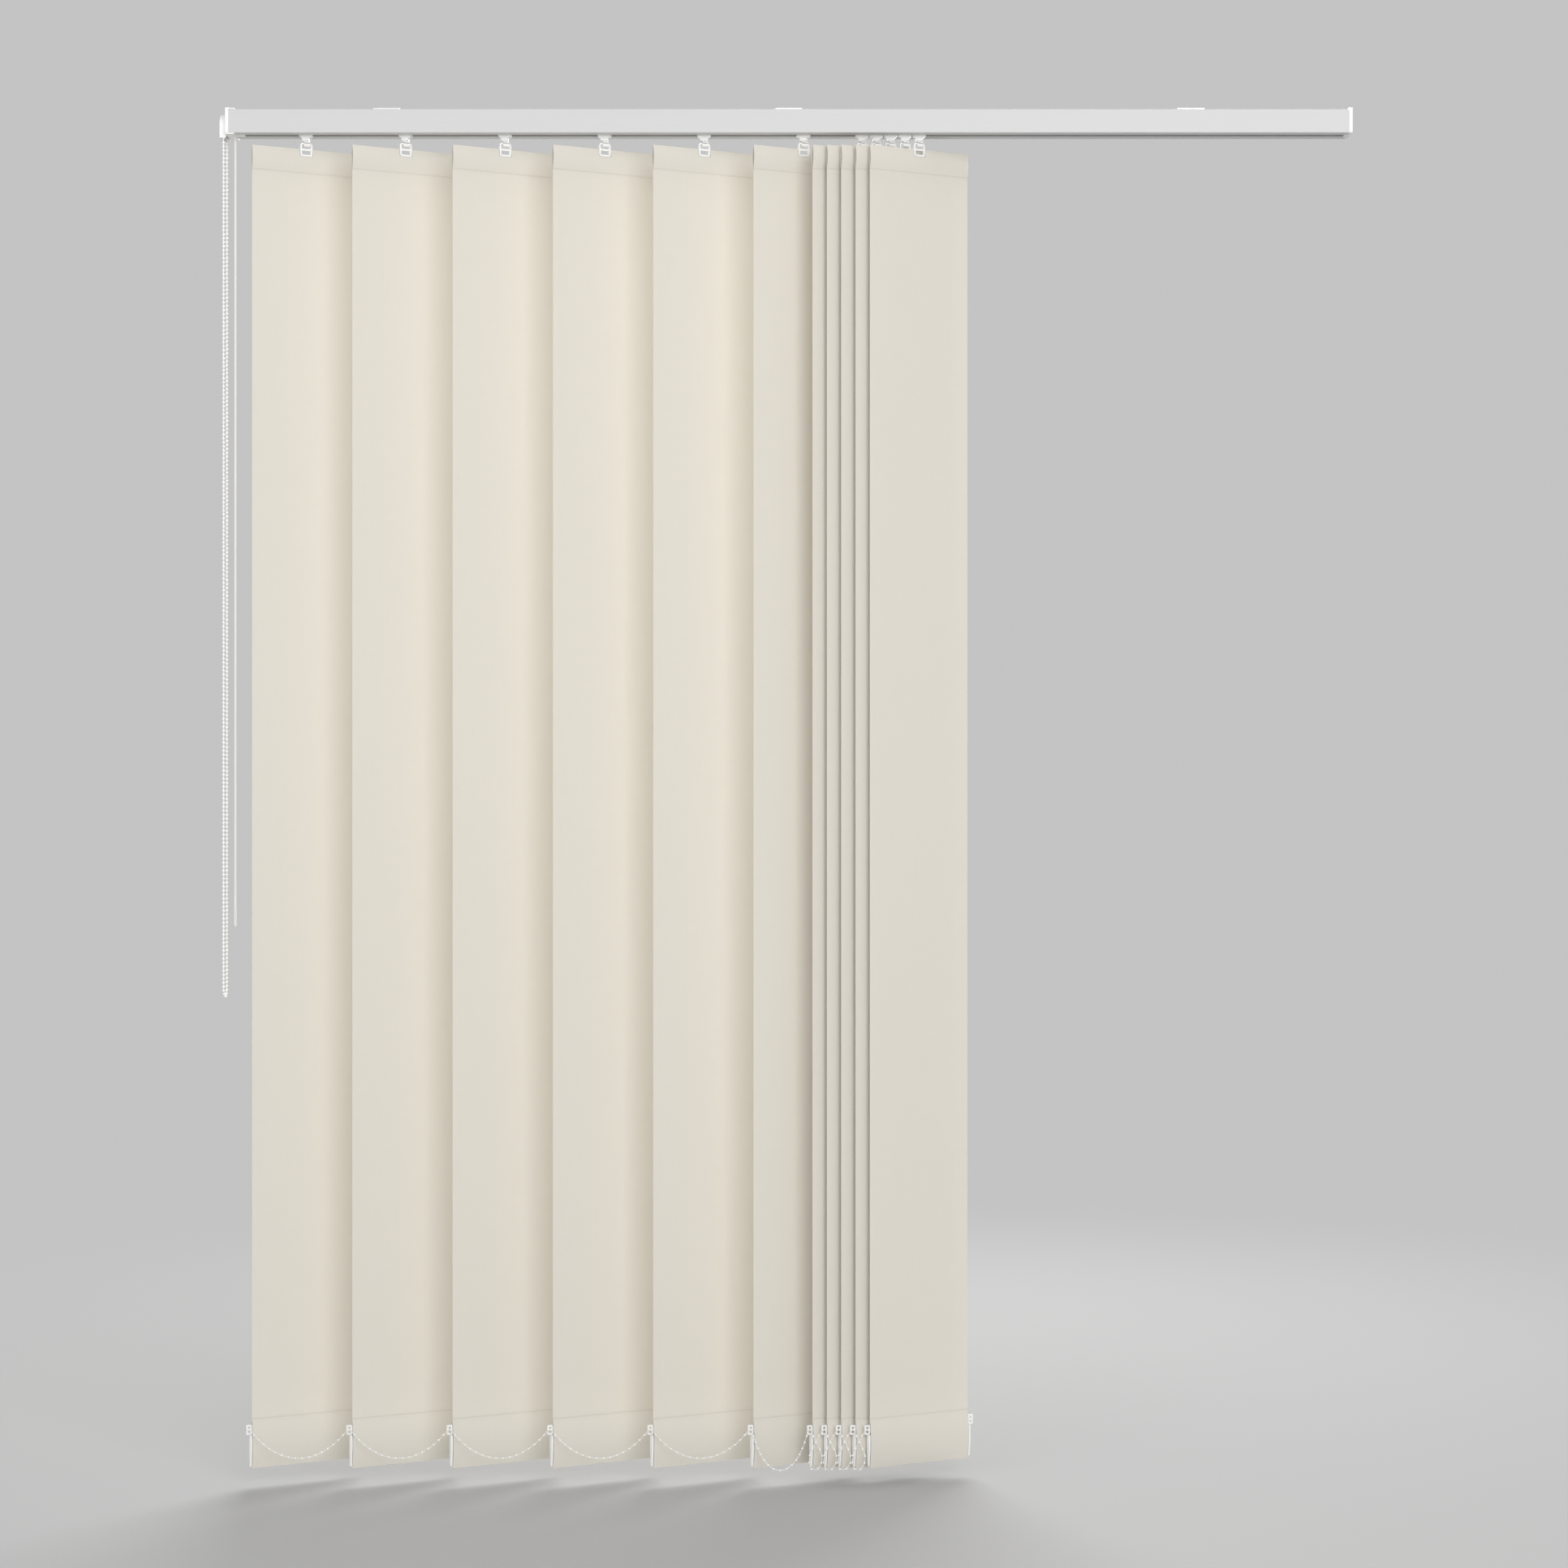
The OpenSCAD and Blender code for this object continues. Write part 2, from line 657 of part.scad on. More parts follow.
module control_chain() {
    low = -control_chain_drop + wheel_r + control_bead_r + control_bead_pitch / 2;
    high = rod_z - control_bead_pitch / 2;
    color("white") {
        for (y = sides) {
            translate([chain_x, y * wheel_r, 0]) control_strand(low, high);
        }
        control_turn(low, -1);
        control_turn(high, 1);
    }
}

// Traverse cord: the hanging loop, and the run in the rail round the idler pulley
module traverse_cord() {
    turn_steps = 12;
    run = concat(
        [[cord_run_start, -cord_run_y, cord_z]],
        [for (i = [0 : turn_steps])
            let (turn = -90 + 180 * i / turn_steps)
            [pulley_x + cord_run_y * cos(turn), cord_run_y * sin(turn), cord_z]],
        [[cord_run_start, cord_run_y, cord_z]]
    );
    color("white") {
        translate(cord_drop_at) tube(cord_route, cord_r, [1, 0, 0]);
        tube(run, cord_r, [0, 0, 1]);
    }
}

// Carrier: housing with rollers, neck in the slot, and a spacer strip to the next carrier
module neck_outline() {
    polygon([
        [-carrier_half_l, carrier_bottom + overrun], [carrier_half_l, carrier_bottom + overrun],
        [carrier_half_l, neck_shoulder], [neck_tip_w / 2, neck_waist], [neck_tip_w / 2, neck_bottom],
        [-neck_tip_w / 2, neck_bottom], [-neck_tip_w / 2, neck_waist], [-carrier_half_l, neck_shoulder]
    ]);
}
module roller() {
    rotate([90, 0, 0]) {
        cylinder(h = roller_w, r = roller_r);
        translate([0, 0, -run_gap - overrun]) cylinder(h = roller_w, r = roller_r * roller_axle_r_share);
    }
}
function strip_z(k) = strip_low + (k % strip_layers) * strip_step;
module strip_tab(grow) {
    square([strip_tab_l + 2 * grow, 2 * strip_tab_half_w + 2 * grow], center = true);
}
module spacer_strip(k) {
    translate([0, 0, strip_z(k)]) linear_extrude(height = strip_t) {
        span_rect(0, strip_l, -strip_w / 2, strip_w / 2);
        strip_tab(0);
    }
}
module spacer_slit(k) {
    translate([0, 0, strip_z(k) - strip_fit]) {
        linear_extrude(height = strip_t + 2 * strip_fit) strip_tab(strip_fit);
    }
}
module cord_lug() {
    translate([0, lug_reach / 2, cord_z]) cube([2 * lug_half_l, lug_reach, lug_h], center = true);
}
module carrier(k) {
    lead = k == slat_count;
    color("white") translate([carrier_x(k), 0, 0]) {
        difference() {
            union() {
                along_x(carrier_l) translate([0, (carrier_top + carrier_bottom) / 2]) {
                    rounded_rect(carrier_w, carrier_top - carrier_bottom, carrier_edge_r);
                }
                along_y(neck_w) neck_outline();
                for (x = sides) {
                    translate([x * roller_x, -roller_y, roller_z]) roller();
                    mirror([0, 1, 0]) translate([x * roller_x, -roller_y, roller_z]) roller();
                }
                if (lead) cord_lug();
            }
            translate([0, 0, rod_z]) rod_along_x(carrier_l + 2 * overrun, rod_r + run_gap);
            along_x(carrier_l + 2 * overrun) {
                span_rect(-notch_half_w, notch_half_w, strip_low - run_gap, carrier_top + overrun);
            }
            translate([0, 0, neck_bottom - overrun]) {
                cylinder(h = stem_top - neck_bottom + overrun + run_gap, r = stem_r + shaft_gap);
            }
            if (lead) {
                translate([0, cord_run_y, cord_z]) rod_along_x(carrier_l + 2 * overrun, cord_r + cord_gap);
            } else {
                spacer_slit(k);
            }
        }
        if (!lead) spacer_strip(k);
    }
}

// Slat: a fabric sheet folded into a pocket at the top and at the bottom
module lens(centre, r) {
    intersection() {
        translate([centre, 0]) circle(r, $fn = 180);
        translate([-centre, 0]) circle(r, $fn = 180);
    }
}
module pocket_section(height, thick) {
    r = lens_r(height, thick);
    difference() {
        lens(r - thick / 2, r);
        lens(r - thick / 2, r - fabric_t);
    }
}
module slat_section() {
    translate([0, top_pocket_z]) pocket_section(top_pocket_h, top_pocket_t);
    translate([0, bottom_pocket_z]) pocket_section(bottom_pocket_h, bottom_pocket_t);
    span_rect(
        -fabric_t / 2, fabric_t / 2,
        slat_bottom + bottom_pocket_h - weld_lap, slat_top - top_pocket_h + weld_lap
    );
}
module on_slat(k) {
    translate([carrier_x(k), 0, 0]) rotate([0, 0, slat_tilt]) children();
}
module slat(k) {
    notch_low = buckle_top - buckle_h - notch_gap;
    notch_high = slat_top + overrun;
    notch_w = buckle_w + 2 * notch_gap;
    color("antiquewhite") on_slat(k) difference() {
        along_x(slat_w) slat_section();
        translate([0, 0, (notch_low + notch_high) / 2]) {
            cube([notch_w, 2 * top_pocket_t, notch_high - notch_low], center = true);
        }
    }
}

// Stem and hook: turns in the carrier's neck and holds the hanger's top bar
module hook_section() {
    difference() {
        union() {
            span_rect(-hook_half_t, hook_half_t, hook_bottom + hook_t, hook_top);
            span_rect(hook_t - hook_half_t, hook_half_t - hook_t, hook_bottom, hook_top);
            both_sides() translate([hook_half_t - hook_t, hook_bottom + hook_t]) circle(hook_t);
        }
        span_rect(hook_t - hook_half_t, hook_half_t - hook_t, hook_bow_top, buckle_top + hook_gap);
        span_rect(
            -hook_half_t - overrun, hook_t - hook_half_t + overrun,
            hook_bow_top + buckle_bar * hook_tip_share, buckle_top + hook_gap
        );
    }
}
module stem_hook() {
    translate([0, 0, hook_top - overrun]) cylinder(h = stem_top - hook_top + overrun, r = stem_r);
    along_x(hook_w) hook_section();
}

// Hanger: a two-window buckle above the slat, on a plate in the top pocket
module buckle_outline() {
    translate([0, buckle_z]) difference() {
        rounded_rect(buckle_w, buckle_h, buckle_r);
        for (s = sides) {
            translate([0, s * (window_h + buckle_bar) / 2]) square([window_w, window_h], center = true);
        }
    }
}
module hanger() {
    along_y(buckle_t) buckle_outline();
    translate([0, 0, hanger_plate_top - hanger_plate_h / 2]) {
        cube([hanger_plate_w, hanger_plate_t, hanger_plate_h], center = true);
    }
}

// Weight: a lens-shaped bar in the bottom pocket, with a chain clip at each end
module clip_outline() {
    translate([clip_mid, clip_z]) difference() {
        square([clip_l, clip_h], center = true);
        for (s = sides) {
            translate([0, s * (clip_window_h + clip_bar) / 2]) {
                square([clip_l - 2 * clip_bar, clip_window_h], center = true);
            }
        }
    }
}
function lens_half(r, thick, low, high) = [for (i = [0 : weight_facets])
    let (z = low + (high - low) * i / weight_facets)
    [sqrt(r * r - z * z) - r + thick / 2, z]];
module lens_bar(half) {
    polygon(concat(half, [for (i = [weight_facets : -1 : 0]) [-half[i][0], half[i][1]]]));
}
module weight_section() {
    skin = fabric_t + weight_gap;
    r = lens_r(bottom_pocket_h, bottom_pocket_t) - skin;
    lens_bar(lens_half(r, bottom_pocket_t - 2 * skin, -weight_h / 2, weight_h / 2));
}
module cap_section() {
    r = lens_r(bottom_pocket_h, cap_t);
    lens_bar(lens_half(r, cap_t, cap_bottom - bottom_pocket_z, cap_top - bottom_pocket_z));
}
module weight() {
    along_x(2 * weight_half_l) translate([0, bottom_pocket_z]) weight_section();
    for (s = sides) {
        mirror([s < 0 ? 1 : 0, 0, 0]) {
            along_y(clip_t) clip_outline();
            translate([clip_start + cap_l / 2, 0, 0]) along_x(cap_l) {
                translate([0, bottom_pocket_z]) cap_section();
            }
            for (tongue = [[clip_z - clip_bar / 2, tongue_h], [bottom_pocket_z, cap_tongue_h]]) {
                translate([(weight_half_l + clip_start) / 2, 0, tongue[0]]) {
                    cube([clip_start - weight_half_l + 2 * overrun, tongue_t, tongue[1]], center = true);
                }
            }
        }
    }
}
module slat_fittings(k) {
    color("white") on_slat(k) {
        stem_hook();
        hanger();
        weight();
    }
}

// Slat chains: beads from clip to clip along the front and the rear edges of the slats
module slat_chain(k, side) {
    start = [
        carrier_x(k) + side * clip_mid * cos(slat_tilt) + chain_apart,
        side * (clip_mid * sin(slat_tilt) + chain_ahead),
        clip_z - chain_drop
    ];
    points = [for (p = chain_points(k)) start + [p[0], -side * p[1], p[2]]];
    color("white") union() {
        bead_row(points, bead_r, link_d / 2);
    }
}

function two_digits(k) = str(k < 10 ? "0" : "", k);

headrail();
control_unit();
idler_end_cap();
ceiling_brackets();
tilt_rod();
control_chain();
traverse_cord();
for (k = [1 : slat_count]) {
    carrier(k);
    slat(k);
    slat_fittings(k);
}
for (k = [1 : slat_count - 1]) {
    slat_chain(k, -1);
    slat_chain(k, 1);
}
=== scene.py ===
# %% [markdown]
# # A vertical blind, dressed for its portrait
# The blind's hard pieces already exist as exact solids: the head rail, its end pieces, the carriers, the
# hangers and the weights. They come in as a fixed frame, in metres, with +Z up and the front on -Y. What is
# left to make here is what hangs and folds: the bead chains, the pull cord and the cloth slats. Then every
# surface gets its finish.

# %% Load the frame
import json
import math

import bpy
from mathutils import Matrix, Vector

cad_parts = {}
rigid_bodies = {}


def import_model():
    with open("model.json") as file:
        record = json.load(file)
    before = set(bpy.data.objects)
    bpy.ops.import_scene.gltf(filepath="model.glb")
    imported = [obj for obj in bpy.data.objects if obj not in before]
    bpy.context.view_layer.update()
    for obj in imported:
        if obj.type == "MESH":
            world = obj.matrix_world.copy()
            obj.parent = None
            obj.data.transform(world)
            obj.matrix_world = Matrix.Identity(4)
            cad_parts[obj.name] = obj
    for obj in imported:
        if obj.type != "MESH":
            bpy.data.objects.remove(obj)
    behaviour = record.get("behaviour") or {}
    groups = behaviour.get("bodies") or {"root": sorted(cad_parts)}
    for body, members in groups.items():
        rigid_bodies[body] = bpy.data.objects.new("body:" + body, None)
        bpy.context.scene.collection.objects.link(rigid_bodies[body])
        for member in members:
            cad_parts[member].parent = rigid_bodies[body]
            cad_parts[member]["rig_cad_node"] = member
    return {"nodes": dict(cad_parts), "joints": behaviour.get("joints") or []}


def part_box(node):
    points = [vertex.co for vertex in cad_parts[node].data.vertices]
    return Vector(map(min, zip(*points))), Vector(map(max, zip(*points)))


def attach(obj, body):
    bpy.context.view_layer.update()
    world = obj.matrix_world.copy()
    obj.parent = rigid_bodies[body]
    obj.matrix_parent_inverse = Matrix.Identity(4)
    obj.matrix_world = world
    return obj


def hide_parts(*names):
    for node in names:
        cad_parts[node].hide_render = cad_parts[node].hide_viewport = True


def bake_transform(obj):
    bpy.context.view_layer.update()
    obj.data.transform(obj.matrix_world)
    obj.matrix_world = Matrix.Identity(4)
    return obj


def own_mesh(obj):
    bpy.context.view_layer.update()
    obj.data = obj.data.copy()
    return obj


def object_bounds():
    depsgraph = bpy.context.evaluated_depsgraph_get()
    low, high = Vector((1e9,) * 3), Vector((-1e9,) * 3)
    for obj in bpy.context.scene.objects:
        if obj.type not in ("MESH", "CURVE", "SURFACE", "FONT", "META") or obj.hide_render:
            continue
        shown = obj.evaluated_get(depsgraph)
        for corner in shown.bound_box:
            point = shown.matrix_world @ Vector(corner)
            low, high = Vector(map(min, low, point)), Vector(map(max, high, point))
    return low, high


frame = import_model()
nodes = frame["nodes"]
cad_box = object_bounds()
SLATS = sum(name.startswith("slat_fittings") for name in nodes)
SIDES = {"front": -1, "rear": 1}
print(len(nodes), "solids,", SLATS, "slats, box", [tuple(round(c, 4) for c in corner) for corner in cad_box])

# %% [markdown]
# Everything is measured in millimetres on a drawing of a blind, so one small helper turns them to metres.
# Each slat hangs from a stem that turns in its carrier. The hinge of that stem is in the frame, and it says
# where the middle of the slat is, which is better than writing eleven places down again.

# %% Places of the slats
def mm(*lengths):
    metres = tuple(length / 1000 for length in lengths)
    return metres if len(metres) > 1 else metres[0]


def two(k):
    return f"{k:02d}"


slat_x = {
    k: joint["pos_m"][0]
    for k in range(1, SLATS + 1)
    for joint in frame["joints"] if joint["name"] == f"tilt_{two(k)}"
}
REST_TILT = math.radians(28)
print("slats at", [round(x, 4) for x in slat_x.values()])

# %% [markdown]
# ## The camera
# The picture was taken square on, from far away, so the rail runs level and the slats stay upright. The
# distance is read from how much lower the far edge of a slat's top looks than its near edge.

# %% Camera
CAMERA_PLACE = (-0.0054, -3.75, -0.7586)
CAMERA_SPREAD = math.radians(26.49)

bpy.ops.object.select_all(action="DESELECT")
bpy.ops.object.camera_add(location=CAMERA_PLACE, rotation=(math.radians(90), 0, 0))
camera = bpy.context.object
camera.data.sensor_fit = "HORIZONTAL"
camera.data.angle = CAMERA_SPREAD
bpy.context.scene.camera = camera
print("camera at", tuple(camera.location))

# %% [markdown]
# ## Bead chains
# All chains on a blind are moulded the same way: a thread with plastic beads shot onto it at even steps. So
# one bead with its bit of thread is enough. It starts as a ball that lies on its side. The two poles are
# taken off, the rings that are left are drawn in to the thread, and one of them is pulled out to the next
# bead.

# %% One bead and its thread
BEAD_SIDES, BEAD_RINGS = 10, 6
RING_SLACK = 1 / 50


def only(piece):
    """Makes one piece the selected and active one."""
    if bpy.context.object and bpy.context.object.mode == "EDIT":
        bpy.ops.object.mode_set(mode="OBJECT")
    bpy.ops.object.select_all(action="DESELECT")
    piece.select_set(True)
    bpy.context.view_layer.objects.active = piece


def select_points(piece, wanted):
    """In edit mode, selects the points of a piece whose place passes a test."""
    only(piece)
    bpy.ops.object.mode_set(mode="EDIT")
    bpy.ops.mesh.select_mode(type="VERT")
    bpy.ops.mesh.select_all(action="DESELECT")
    bpy.ops.object.mode_set(mode="OBJECT")
    for point in piece.data.vertices:
        point.select = wanted(point.co)
    bpy.ops.object.mode_set(mode="EDIT")


def bead_and_thread(name, bead_r, thread_r, pitch):
    """A bead at the origin with its thread along +X, open at both ends."""
    bpy.ops.object.select_all(action="DESELECT")
    bpy.ops.mesh.primitive_uv_sphere_add(
        segments=BEAD_SIDES, ring_count=BEAD_RINGS, radius=bead_r, rotation=(0, math.radians(90), 0))
    bead = bpy.context.object
    bead.name = name
    bpy.ops.object.transform_apply(location=False, rotation=True, scale=False)
    ring_x = bead_r * math.cos(math.pi / BEAD_RINGS)
    draw_in = thread_r / (bead_r * math.sin(math.pi / BEAD_RINGS))
    select_points(bead, lambda co: abs(co.x) > (bead_r + ring_x) / 2)
    bpy.ops.mesh.delete(type="VERT")
    select_points(bead, lambda co: abs(co.x) > ring_x - bead_r * RING_SLACK)
    bpy.ops.transform.resize(value=(1, draw_in, draw_in))
    select_points(bead, lambda co: co.x > ring_x - bead_r * RING_SLACK)
    bpy.ops.mesh.extrude_region_move(TRANSFORM_OT_translate={"value": (pitch - 2 * ring_x, 0, 0)})
    bpy.ops.object.mode_set(mode="OBJECT")
    return bead


print("bead helper ready")

# %% [markdown]
# A chain is that bead in an array, laid along a line. The array is cut off behind its last bead while it is
# still straight, because there a flat cut is easy. The Curve modifier then bends the row onto its line. A
# line of many short straight steps keeps its measured length, so the beads keep their pitch.

# %% A chain along a line
MERGE_SHARE = 1 / 100


def line_length(points):
    return sum(math.dist(a, b) for a, b in zip(points, points[1:]))


def guide_line(name, points):
    """A curve of straight steps through points."""
    data = bpy.data.curves.new(name, "CURVE")
    data.dimensions = "3D"
    data.twist_mode = "MINIMUM"
    spline = data.splines.new("POLY")
    spline.points.add(len(points) - 1)
    for place, point in zip(spline.points, points):
        place.co = (*point, 1)
    line = bpy.data.objects.new(name, data)
    bpy.context.scene.collection.objects.link(line)
    return line


def apply_modifier(piece, name):
    only(piece)
    bpy.ops.object.modifier_apply(modifier=name)


def bead_chain(name, points, bead_d, thread_d, beads, endless=False):
    """A row of beads along points, with a bead at both ends or closed on itself."""
    length = line_length(points)
    pitch = length / (beads if endless else beads - 1)
    chain = bead_and_thread(name, bead_d / 2, thread_d / 2, pitch)
    array = chain.modifiers.new("row", "ARRAY")
    array.count = beads
    array.use_relative_offset = False
    array.use_constant_offset = True
    array.constant_offset_displace = (pitch, 0, 0)
    array.use_merge_vertices = True
    array.merge_threshold = bead_d * MERGE_SHARE
    apply_modifier(chain, "row")
    if not endless:
        bpy.ops.object.mode_set(mode="EDIT")
        bpy.ops.mesh.select_all(action="SELECT")
        last_ring = length + bead_d / 2 * math.cos(math.pi / BEAD_RINGS)
        bpy.ops.mesh.bisect(plane_co=(last_ring, 0, 0), plane_no=(1, 0, 0), clear_outer=True)
        bpy.ops.mesh.select_all(action="SELECT")
        bpy.ops.mesh.fill_holes(sides=0)
        bpy.ops.object.mode_set(mode="OBJECT")
    line = guide_line(name + "_line", points)
    bend = chain.modifiers.new("lay", "CURVE")
    bend.object = line
    bend.deform_axis = "POS_X"
    apply_modifier(chain, "lay")
    bpy.data.objects.remove(line)
    bpy.ops.object.mode_set(mode="EDIT")
    bpy.ops.mesh.select_all(action="SELECT")
    bpy.ops.mesh.remove_doubles(threshold=bead_d * MERGE_SHARE)
    bpy.ops.mesh.normals_make_consistent(inside=False)
    bpy.ops.object.mode_set(mode="OBJECT")
    bpy.ops.object.shade_smooth()
    return chain


print("chain helper ready")

# %% [markdown]
# ## The control chain
# The endless chain at the left end turns the tilt rod. It goes over a wheel under the round cover and hangs
# down in two straight runs. The line starts where the front run leaves the cover, goes down, round the
# loose turn at the bottom, up the rear run and over the wheel.

# %% Control chain
WHEEL_R = mm(11)
WHEEL_Z = mm(-20)
CONTROL_BEAD, CONTROL_THREAD = mm(3.3, 1.1)
CONTROL_BEADS = 446
TURN_STEPS = 24

control_low, control_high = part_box("control_chain")
chain_x = (control_low.x + control_high.x) / 2
turn_z = control_low.z + WHEEL_R + CONTROL_BEAD / 2
cover_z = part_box("control_unit")[0].z


def half_turn(centre_z, way, steps):
    """Points of a half circle from the front run to the rear run, below or above its centre."""
    angles = [math.pi * i / steps for i in range(steps + 1)]
    return [(chain_x, -WHEEL_R * math.cos(a), centre_z + way * WHEEL_R * math.sin(a)) for a in angles]


control_line = (
    [(chain_x, -WHEEL_R, cover_z)]
    + half_turn(turn_z, -1, TURN_STEPS)
    + half_turn(WHEEL_Z, 1, TURN_STEPS)[::-1]
    + [(chain_x, -WHEEL_R, cover_z)]
)
control_chain = bead_chain(
    "control_bead_chain", control_line, CONTROL_BEAD, CONTROL_THREAD, CONTROL_BEADS, endless=True)
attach(control_chain, "rail")
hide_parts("control_chain")
print("control chain", round(line_length(control_line), 3), "m")

# %% [markdown]
# ## The pull cord
# A thin braided cord draws the slats along. It hangs in a narrow loop beside the chain, and in the rail it
# runs to the far end, round a pulley and back. A curve with a round bevel is the natural start for a cord,
# and it is then turned to a mesh. The front and the rear run of the loop are alike, so only one is written
# down, as places in depth and height, from the rail to the turn at the bottom.

# %% Pull cord
CORD_D = mm(1.4)
CORD_DROP_INSET = mm(5)
CORD_DROP = [
    (3, 3.6), (3, -31), (3, -91), (3, -171), (3, -271), (3, -371), (3, -471), (3, -571), (3, -671), (3, -771),
    (3, -831), (3.2, -848), (3.9, -862), (4.6, -873), (5, -881), (5, -885.6), (4.6, -887.5), (3.5, -889.1),
    (1.9, -890.2),
]
CORD_LOWEST = (0, -890.6)
CORD_BEVEL_STEPS = 2

rail_low, rail_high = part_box("headrail")


def cord_piece(name, points):
    """A round cord along points, as a mesh."""
    line = guide_line(name, points)
    line.data.bevel_depth = CORD_D / 2
    line.data.bevel_resolution = CORD_BEVEL_STEPS
    line.data.use_fill_caps = True
    only(line)
    bpy.ops.object.convert(target="MESH")
    bpy.ops.object.shade_smooth()
    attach(line, "rail")
    print(name, round(line_length(points), 3), "m")
    return line


loop_route = [(-y, z) for y, z in CORD_DROP] + [CORD_LOWEST] + CORD_DROP[::-1]
hang_points = [(rail_low.x + CORD_DROP_INSET, mm(y), rail_low.z + mm(z)) for y, z in loop_route]
cord_loop = cord_piece("pull_cord_loop", hang_points)

# %% [markdown]
# The run in the rail has only one bend, round the idler pulley, and the rail hides most of it.

# %% Cord run in the rail
RUN_Y = mm(15)
RUN_Z = mm(-13)
PULLEY_INSET = mm(22)
RUN_INSET = mm(10)
PULLEY_STEPS = 16

pulley_x = rail_high.x - PULLEY_INSET
run_start = rail_low.x + RUN_INSET
run_points = [(run_start, -RUN_Y, RUN_Z)]
for i in range(PULLEY_STEPS + 1):
    turn = math.pi * (i / PULLEY_STEPS - 0.5)
    run_points.append((pulley_x + RUN_Y * math.cos(turn), RUN_Y * math.sin(turn), RUN_Z))
run_points.append((run_start, RUN_Y, RUN_Z))
cord_run = cord_piece("pull_cord_run", run_points)
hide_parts("traverse_cord")
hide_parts("traverse_cord")

# %% [markdown]
# ## Slat chains
# Two light chains, one along the front edges and one along the rear edges, keep the slats in step. Between
# two open slats a chain hangs in a catenary. Its shape follows from the gap and the length alone: the shape
# constant is found by halving, and the beads then lie at even steps of the arc. The ends lie in front of
# the clips, so far out that a clip can turn past them when the slats tilt.

# %% Lines of the slat chains
BEAD, BEAD_THREAD, BEAD_PITCH = mm(2.4, 0.6, 7.5)
OPEN_CHAIN, HALF_CHAIN = mm(131, 118)
OPEN_GAP_FROM, HALF_GAP_FROM = mm(90, 30)
CLIP_OUT, CHAIN_END_Z, CHAIN_AHEAD, CHAIN_GAP = mm(67.1, -1478.8, 4.5, 0.35)
LOOP_W, LOOP_DEPTH = mm(14.4, 45)
LOOP_SHARES = [
    (0, 0, 0), (0.19, 0, 0.15), (0.38, 0, 0.29), (0.6, 0, 0.44), (0.85, 0, 0.61), (0.82, 0, 0.81),
    (0.42, 0.4, 1), (-0.02, 0.8, 0.97), (-0.18, 1, 0.8), (-0.13, 1, 0.6), (0.1, 1, 0.44), (0.32, 1, 0.29),
    (0.55, 0.55, 0.15), (0.85, 0, 0),
]
SHAPE_REACH, HALVINGS = 20, 60
chain_apart = BEAD / 2 + CHAIN_GAP / 2


def catenary(span, length, steps):
    """Points of a chain that hangs between two ends at the same height."""
    low, high = span / SHAPE_REACH, span * SHAPE_REACH
    for _ in range(HALVINGS):
        shape = (low + high) / 2
        low, high = (shape, high) if 2 * shape * math.sinh(span / (2 * shape)) > length else (low, shape)
    deep = math.hypot(shape, length / 2)
    arcs = [length * (i / steps - 0.5) for i in range(steps + 1)]
    return [(span / 2 + shape * math.asinh(s / shape), 0, math.hypot(shape, s) - deep) for s in arcs]


def bunched_loop(span):
    """Points of a chain that is pushed together: it crosses itself and hangs in a loop."""
    last = len(LOOP_SHARES) - 1
    end_share = LOOP_SHARES[last][0]
    return [
        (span * i / last + LOOP_W * (x - end_share * i / last), -(BEAD + CHAIN_GAP) * y, -LOOP_DEPTH * z)
        for i, (x, y, z) in enumerate(LOOP_SHARES)
    ]


def slat_chain_points(k, side):
    """The line of the chain from slat k to the next, on the front (-1) or the rear (1)."""
    gap = slat_x[k + 1] - slat_x[k]
    span = gap - 2 * chain_apart
    if gap > OPEN_GAP_FROM:
        points = catenary(span, OPEN_CHAIN, round(OPEN_CHAIN / BEAD_PITCH))
    elif gap > HALF_GAP_FROM:
        points = catenary(span, HALF_CHAIN, round(HALF_CHAIN / BEAD_PITCH))
    else:
        points = bunched_loop(span)
    start_x = slat_x[k] + side * CLIP_OUT * math.cos(REST_TILT) + chain_apart
    start_y = side * (CLIP_OUT * math.sin(REST_TILT) + CHAIN_AHEAD)
    return [(start_x + x, start_y - side * y, CHAIN_END_Z + z) for x, y, z in points]


print("slat chain lines ready")

# %% [markdown]
# When the blind is drawn, the gap between two carriers closes and the chain between them bunches up. The
# first chain on each side is attached to the body of its links and gets a mesh of its own. The others are not
# attached: their place is applied to their meshes.

for side_name, side in SIDES.items():
    for k in range(1, SLATS):
        points = slat_chain_points(k, side)
        chain = bead_chain(f"{side_name}_slat_chain_{two(k)}", points, BEAD, BEAD_THREAD, len(points))
        moving = f"{side_name}_links_{two(k)}"
        if k == 1:
            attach(chain, moving)
            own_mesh(chain)
        else:
            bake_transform(chain)
        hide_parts(f"{side_name}_chain_{two(k)}")
print("slat chains", 2 * (SLATS - 1))

# %% [markdown]
# ## One slat
# A slat is one strip of stiffened cloth. At the top it is folded back and welded across, which makes a
# pocket for the hanger, and at the bottom it is folded back round the weight. A box with two bulges would
# look solid, so the strip is made as the cloth goes: a flat grid between the two welds, with its end edges
# pulled out step by step along the pockets, over the fold and back to the weld behind.

# %% The flat of the slat
SLAT_W, SLAT_TOP, SLAT_BOTTOM, CLOTH_T = mm(127, -44.6, -1522.6, 0.45)
TOP_POCKET_H, TOP_POCKET_T = mm(26.6, 4.6)
BOTTOM_POCKET_H, BOTTOM_POCKET_T = mm(54.7, 6)
SLAT_COLUMNS, SLAT_ROWS = 18, 36

